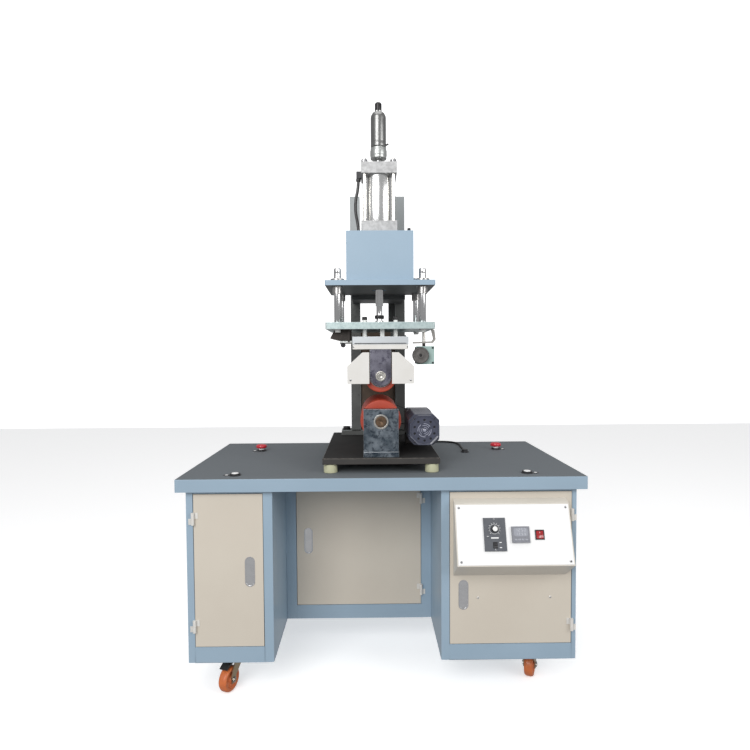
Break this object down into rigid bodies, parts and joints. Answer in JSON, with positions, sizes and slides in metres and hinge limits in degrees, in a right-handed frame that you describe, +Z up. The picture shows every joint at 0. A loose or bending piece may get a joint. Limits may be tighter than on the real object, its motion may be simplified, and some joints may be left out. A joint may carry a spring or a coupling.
{
  "type": "hot foil stamper",
  "caption": "Pneumatic roller hot foil stamper: driven lower roller, heated upper roller on a guided platen, steel kneehole desk with controls, on casters.",
  "frame": {"origin": "on the floor, under the middle of the bounding box", "axes": "+Z up, front (doors and control panel) faces -Y, +X to the operator's right"},
  "size_m": [1.2, 0.714, 1.834],
  "materials": {
    "blue_grey_paint": "satin enamel, light blue-grey",
    "carcass_paint": "satin enamel, light blue-grey",
    "cream_paint": "satin enamel, cream",
    "white_paint": "satin enamel, white",
    "box_paint": "satin enamel, pale cream",
    "guard_paint": "off-white enamel",
    "hinge_steel": "painted barrel hinges",
    "pull_chrome": "polished",
    "black_plastic": "moulded",
    "controller_plastic": "dark grey moulding",
    "meter_plastic": "grey moulding",
    "rocker_red": "translucent red moulding",
    "palm_white": "white push button",
    "stop_red": "red mushroom head",
    "fork_steel": "zinc plated pressing",
    "caster_tread": "orange polyurethane tread",
    "pedal_black": "black pedal",
    "base_black": "blackened steel plate",
    "foot_plastic": "pale yellow nylon",
    "block_steel": "blued ground steel",
    "silicone_red": "red-orange silicone",
    "shaft_steel": "turned steel",
    "belt_rubber": "black timing belt",
    "motor_enamel": "glossy navy black",
    "column_paint": "grey enamel on steel bars",
    "arm_steel": "dark grey enamel",
    "cap_alloy": "sand-cast cap",
    "barrel_alloy": "polished tube",
    "bush_bronze": "ground bushes",
    "rod_chrome": "hard chromed",
    "adjuster_alloy": "turned grey aluminium",
    "platen_zinc": "zinc plated plate",
    "heater_alloy": "milled plate",
    "hose_black": "polyurethane air hose",
    "lead_black": "sheathed cable",
    "bracket_steel": "dark bent strip",
    "stepper_green": "pale green enamel",
    "wheel_knurled": "knurled grey wheel"
  },
  "bodies": {
    "root": {"desk_top": "blue_grey_paint", "desk_carcass": "carcass_paint", "hinge_pins": "hinge_steel", "desk_fittings": "black_plastic", "machine_lead": "lead_black", "caster_mounts": "fork_steel", "base_plate": "base_black", "base_feet": "foot_plastic", "bearing_blocks": "block_steel", "drive_belt": "belt_rubber", "drive_motor": "motor_enamel", "column": "column_paint", "head_arm": "arm_steel", "top_plate": "blue_grey_paint", "head_cover": "blue_grey_paint", "cylinder_caps": "cap_alloy", "cylinder_barrel": "barrel_alloy", "guide_bushes": "bush_bronze", "air_hose": "hose_black"},
    "left_door": {"left_door": "cream_paint", "left_door_pull": "pull_chrome"},
    "centre_door": {"centre_door": "cream_paint", "centre_door_pull": "pull_chrome"},
    "right_door": {"right_door": "cream_paint", "right_door_pull": "pull_chrome", "control_box": "box_paint", "control_face": "white_paint", "speed_controller": "controller_plastic", "temperature_controller": "meter_plastic", "power_switch": "black_plastic"},
    "speed_knob": {"speed_knob": "black_plastic"},
    "speed_switch": {"speed_switch": "black_plastic"},
    "power_rocker": {"power_rocker": "rocker_red"},
    "left_palm_button": {"left_palm_button": "palm_white"},
    "right_palm_button": {"right_palm_button": "palm_white"},
    "left_stop_button": {"left_stop_button": "stop_red"},
    "right_stop_button": {"right_stop_button": "stop_red"},
    "left_caster": {"left_caster_fork": "fork_steel"},
    "right_caster": {"right_caster_fork": "fork_steel"},
    "left_front_wheel": {"left_front_wheel": "caster_tread"},
    "right_front_wheel": {"right_front_wheel": "caster_tread"},
    "left_rear_wheel": {"left_rear_wheel": "caster_tread"},
    "right_rear_wheel": {"right_rear_wheel": "caster_tread"},
    "left_brake_pedal": {"left_brake_pedal": "pedal_black"},
    "right_brake_pedal": {"right_brake_pedal": "pedal_black"},
    "drive_roller": {"drive_roller": "silicone_red", "drive_shaft": "shaft_steel"},
    "motor_pulley": {"motor_pulley": "shaft_steel"},
    "platen": {"platen": "platen_zinc", "piston_rod": "rod_chrome", "guide_posts": "rod_chrome", "heater_mount": "heater_alloy", "roller_fork": "block_steel", "roller_guards": "guard_paint", "foil_bracket": "bracket_steel", "rewind_motor": "stepper_green"},
    "print_roller": {"print_roller": "silicone_red"},
    "rewind_wheel": {"rewind_wheel": "wheel_knurled"},
    "stroke_collar": {"stroke_collar": "adjuster_alloy"},
    "stroke_sleeve": {"stroke_sleeve": "adjuster_alloy"}
  },
  "joints": [
    {"name": "left_door_swing", "type": "hinge", "parent": "root", "child": "left_door", "pos_m": [-0.55275, -0.2813, 0.3], "axis": [0, 0, -1], "range_deg": [0, 110]},
    {"name": "centre_door_swing", "type": "hinge", "parent": "root", "child": "centre_door", "pos_m": [0.13925, -0.0103, 0.3], "axis": [0, 0, 1], "range_deg": [0, 90]},
    {"name": "right_door_swing", "type": "hinge", "parent": "root", "child": "right_door", "pos_m": [0.55975, -0.2813, 0.3], "axis": [0, 0, 1], "range_deg": [0, 100]},
    {"name": "speed_knob_turn", "type": "hinge", "parent": "right_door", "child": "speed_knob", "pos_m": [0.319, -0.32768, 0.52031], "axis": [0, 0.9421, -0.3352], "range_deg": [0, 280]},
    {"name": "speed_switch_rock", "type": "hinge", "parent": "right_door", "child": "speed_switch", "pos_m": [0.319, -0.34241, 0.47832], "axis": [1, 0, 0], "range_deg": [-7, 7]},
    {"name": "power_rocker_rock", "type": "hinge", "parent": "right_door", "child": "power_rocker", "pos_m": [0.44825, -0.33169, 0.50396], "axis": [1, 0, 0], "range_deg": [-8, 8]},
    {"name": "left_palm_push", "type": "slide", "parent": "root", "child": "left_palm_button", "axis": [0, 0, -1], "range_m": [0, 0.0035], "stiffness_N_per_m": 300, "springref_m": -0.004},
    {"name": "left_stop_push", "type": "slide", "parent": "root", "child": "left_stop_button", "axis": [0, 0, -1], "range_m": [0, 0.004]},
    {"name": "right_palm_push", "type": "slide", "parent": "root", "child": "right_palm_button", "axis": [0, 0, -1], "range_m": [0, 0.0035], "stiffness_N_per_m": 300, "springref_m": -0.004},
    {"name": "right_stop_push", "type": "slide", "parent": "root", "child": "right_stop_button", "axis": [0, 0, -1], "range_m": [0, 0.004]},
    {"name": "left_caster_swivel", "type": "hinge", "parent": "root", "child": "left_caster", "pos_m": [-0.455, -0.198, 0.1], "axis": [0, 0, 1], "continuous": true},
    {"name": "left_front_wheel_roll", "type": "hinge", "parent": "left_caster", "child": "left_front_wheel", "pos_m": [-0.46774, -0.22952, 0.0375], "axis": [-0.9272, 0.3746, 0], "continuous": true},
    {"name": "left_brake_press", "type": "hinge", "parent": "left_caster", "child": "left_brake_pedal", "pos_m": [-0.455, -0.198, 0.089], "axis": [0.9272, -0.3746, 0], "range_deg": [0, 8]},
    {"name": "left_rear_wheel_roll", "type": "hinge", "parent": "root", "child": "left_rear_wheel", "pos_m": [-0.455, 0.267, 0.0375], "axis": [1, 0, 0], "continuous": true},
    {"name": "right_caster_swivel", "type": "hinge", "parent": "root", "child": "right_caster", "pos_m": [0.455, -0.198, 0.1], "axis": [0, 0, 1], "continuous": true},
    {"name": "right_front_wheel_roll", "type": "hinge", "parent": "right_caster", "child": "right_front_wheel", "pos_m": [0.46883, -0.16694, 0.0375], "axis": [0.9135, -0.4067, 0], "continuous": true},
    {"name": "right_brake_press", "type": "hinge", "parent": "right_caster", "child": "right_brake_pedal", "pos_m": [0.455, -0.198, 0.089], "axis": [-0.9135, 0.4067, 0], "range_deg": [0, 8]},
    {"name": "right_rear_wheel_roll", "type": "hinge", "parent": "root", "child": "right_rear_wheel", "pos_m": [0.455, 0.267, 0.0375], "axis": [1, 0, 0], "continuous": true},
    {"name": "drive_roller_spin", "type": "hinge", "parent": "root", "child": "drive_roller", "pos_m": [0, -0.053, 0.816], "axis": [0, 1, 0], "continuous": true},
    {"name": "motor_pulley_spin", "type": "hinge", "parent": "root", "child": "motor_pulley", "pos_m": [0.135, 0.125, 0.784], "axis": [0, 1, 0], "continuous": true},
    {"name": "platen_press", "type": "slide", "parent": "root", "child": "platen", "axis": [0, 0, -1], "range_m": [0, 0.022]},
    {"name": "print_roller_spin", "type": "hinge", "parent": "platen", "child": "print_roller", "pos_m": [0, -0.053, 0.953], "axis": [0, 1, 0], "continuous": true},
    {"name": "rewind_wheel_spin", "type": "hinge", "parent": "platen", "child": "rewind_wheel", "pos_m": [0.126, -0.154, 1.016], "axis": [0, 1, 0], "continuous": true},
    {"name": "stroke_travel", "type": "slide", "parent": "platen", "child": "stroke_collar", "axis": [0, 0, 1], "range_m": [0, 0.012]},
    {"name": "stroke_turn", "type": "hinge", "parent": "stroke_collar", "child": "stroke_sleeve", "pos_m": [0, -0.053, 1.742], "axis": [0, 0, 1], "range_deg": [0, 2880]}
  ],
  "couplings": [
    {"joint": "motor_pulley_spin", "follows": "drive_roller_spin", "ratio": 1.9},
    {"joint": "stroke_turn", "follows": "stroke_travel", "rad_per_m": 4188.8}
  ]
}
